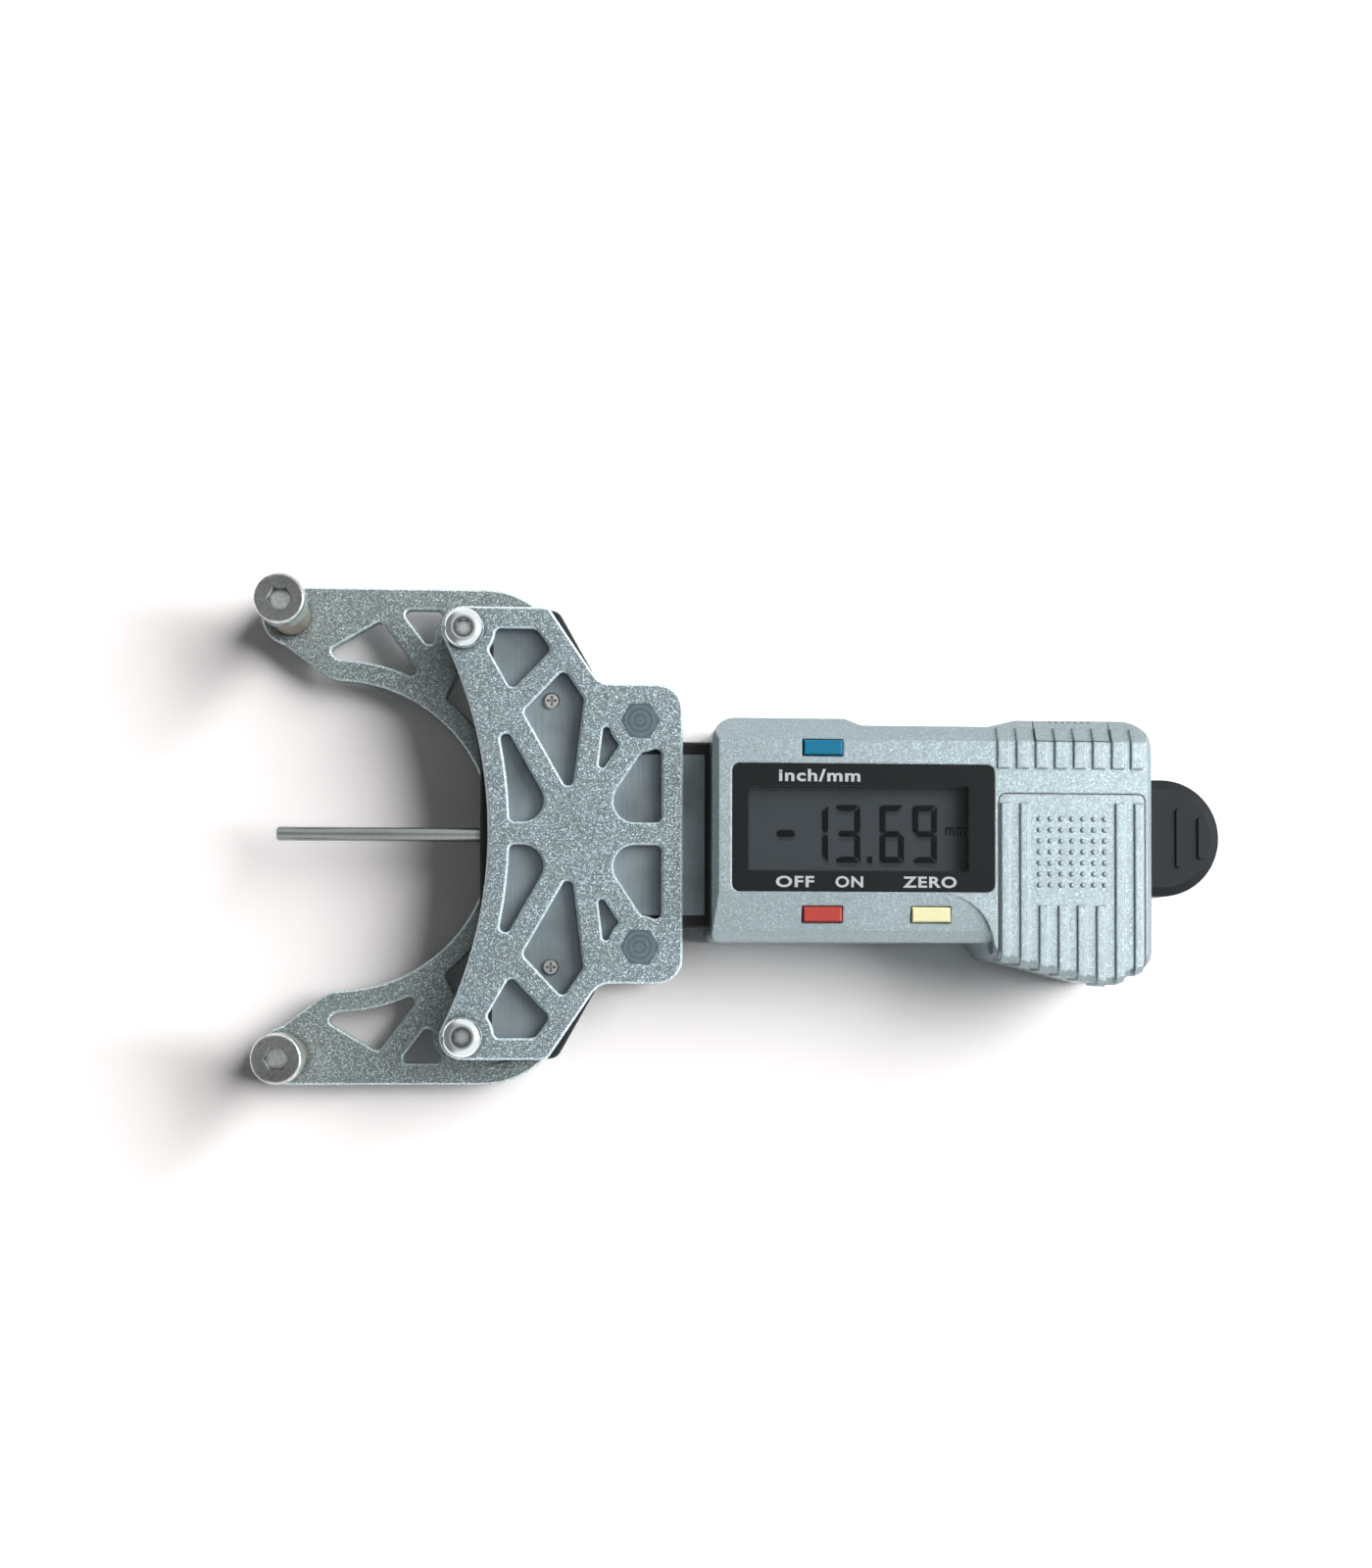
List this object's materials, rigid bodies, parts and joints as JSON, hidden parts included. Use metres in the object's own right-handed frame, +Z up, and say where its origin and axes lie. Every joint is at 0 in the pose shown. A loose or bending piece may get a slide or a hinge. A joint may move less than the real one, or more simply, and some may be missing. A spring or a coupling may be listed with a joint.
{
  "type": "belt tension gauge",
  "caption": "Digital belt tension gauge: a sliding probe between two posts, lightened metal plates on a T beam, a display head with push buttons, and a push tab.",
  "frame": {"origin": "on the table, below the middle of the whole length from the ends of the rear plate's arms to the push tab, on the probe's centre line", "axes": "+X along the probe towards the push tab, +Y across towards the blue button, +Z up, out of the display"},
  "size_m": [0.1376, 0.0712, 0.0189],
  "materials": {
    "plate": "bead blasted, clear anodised",
    "beam": "fine moulded texture",
    "steel_face": "brushed across the stem",
    "head": "metallic silver moulding",
    "window": "smoked clear window with a printed border",
    "display": "dark liquid crystal panel",
    "strip": "conductive rubber",
    "board": "solder mask",
    "steel": "plain bright steel",
    "polished_steel": "polished",
    "black_steel": "black oxide, satin",
    "bronze": "plain bronze, slightly tarnished",
    "contact": "spring bronze",
    "blue": "satin",
    "red": "satin",
    "yellow": "satin",
    "tab": "moulded dark navy"
  },
  "bodies": {
    "gauge": {"rear_plate": "plate", "front_plate": "plate", "plate_screws": "polished_steel", "plate_spacers": "steel", "plate_nuts": "steel", "standoffs": "steel", "standoff_screws": "polished_steel", "post_screws": "black_steel", "post_sleeves": "bronze", "post_nuts": "steel", "t_beam": "beam", "beam_face": "steel_face", "face_screws": "steel", "slide_spring": "contact", "head_front_shell": "head", "head_rear_shell": "head", "port_contacts": "contact", "shell_screws": "black_steel", "stem_screws": "black_steel", "display_window": "window", "lcd_panel": "display", "contact_strips": "strip", "circuit_board": "board", "switch_domes": "steel", "coin_cell": "steel", "battery_contacts": "contact"},
    "slide": {"probe_rod": "steel", "slider_bar": "steel", "push_tab": "tab", "tab_pin": "steel"},
    "button_unit": {"button_unit": "blue"},
    "button_power": {"button_power": "red"},
    "button_zero": {"button_zero": "yellow"},
    "battery_cover": {"battery_cover": "head"},
    "port_cover": {"port_cover": "head"}
  },
  "joints": [
    {"name": "probe_slide", "type": "slide", "parent": "gauge", "child": "slide", "axis": [1, 0, 0], "range_m": [0, 0.028]},
    {"name": "unit_press", "type": "slide", "parent": "gauge", "child": "button_unit", "axis": [0, 0, -1], "range_m": [0, 0.0005], "stiffness_N_per_m": 2000, "springref_m": -0.0002},
    {"name": "power_press", "type": "slide", "parent": "gauge", "child": "button_power", "axis": [0, 0, -1], "range_m": [0, 0.0005], "stiffness_N_per_m": 2000, "springref_m": -0.0002},
    {"name": "zero_press", "type": "slide", "parent": "gauge", "child": "button_zero", "axis": [0, 0, -1], "range_m": [0, 0.0005], "stiffness_N_per_m": 2000, "springref_m": -0.0002},
    {"name": "battery_cover_slide", "type": "slide", "parent": "gauge", "child": "battery_cover", "axis": [0, -1, 0], "range_m": [0, 0.026]},
    {"name": "port_cover_pull", "type": "slide", "parent": "gauge", "child": "port_cover", "axis": [0, 1, 0], "range_m": [0, 0.006]}
  ]
}
